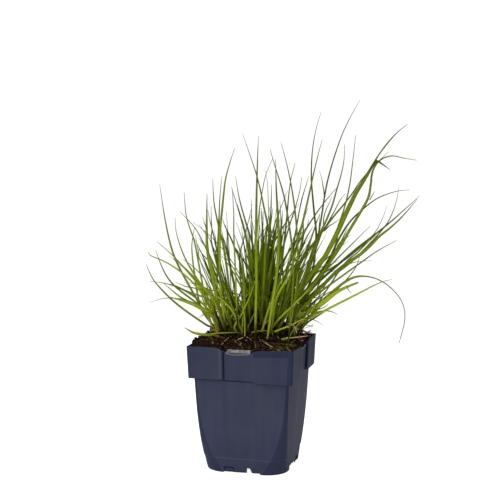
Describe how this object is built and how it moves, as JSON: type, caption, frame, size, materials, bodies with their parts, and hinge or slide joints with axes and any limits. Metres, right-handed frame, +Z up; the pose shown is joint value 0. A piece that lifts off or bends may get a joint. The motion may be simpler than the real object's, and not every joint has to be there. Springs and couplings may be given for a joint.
{
  "type": "potted switchgrass",
  "caption": "Young tuft of narrow-bladed ornamental grass growing in a square plastic nursery pot filled with peat, standing free on its corner feet.",
  "frame": {"origin": "middle of the pot's foot, on the ground, at the centre of the flat pad under the floor", "axes": "+Z up, along the pot's axis; +Y from the front of the pot to its back; +X to the right"},
  "size_m": [0.2861, 0.178, 0.3811],
  "materials": {
    "pot_plastic": "satin",
    "peat": "matte",
    "grass": "satin"
  },
  "bodies": {
    "root": {"pot": "pot_plastic", "peat": "peat", "blade_right_pale": "grass", "blade_middle_tall_1": "grass", "blade_right_faint": "grass", "blade_low_right_3": "grass", "blade_left_arc_1": "grass", "blade_right_dark": "grass", "blade_low_right_1": "grass", "blade_left_inner": "grass", "blade_left_hook": "grass", "blade_low_right_2": "grass", "blade_low_left_1": "grass", "blade_left_tall": "grass", "blade_right_curve": "grass", "blade_drooping": "grass", "blade_low_left_3": "grass", "blade_broken": "grass", "blade_left_arc_2": "grass", "blade_right_pair_1": "grass", "blade_middle_short_3": "grass", "blade_right_pair_2": "grass", "blade_low_over_rim": "grass", "blade_right_tallest": "grass", "blade_left_curve_2": "grass", "blade_kinked_arc": "grass", "blade_right_tall_1": "grass", "blade_kinked_broad": "grass", "blade_left_upright_1": "grass", "blade_right_straight": "grass", "blade_low_left_2": "grass", "blade_right_tall_3": "grass", "blade_left_broad": "grass", "blade_right_low_1": "grass", "blade_middle_cross_1": "grass", "blade_kinked_thin": "grass", "blade_left_pale": "grass", "blade_right_tall_2": "grass", "blade_middle_short_2": "grass", "blade_left_upright_2": "grass", "blade_middle_thin_5": "grass", "blade_left_curve_1": "grass", "blade_middle_thin_4": "grass", "blade_right_folded": "grass", "blade_middle_cross_3": "grass", "blade_left_cross": "grass", "blade_middle_thin_1": "grass", "blade_middle_short_1": "grass", "blade_middle_cross_2": "grass", "blade_middle_front": "grass", "blade_middle_thin_2": "grass", "blade_middle_upright": "grass", "blade_middle_thin_3": "grass"}
  },
  "joints": []
}
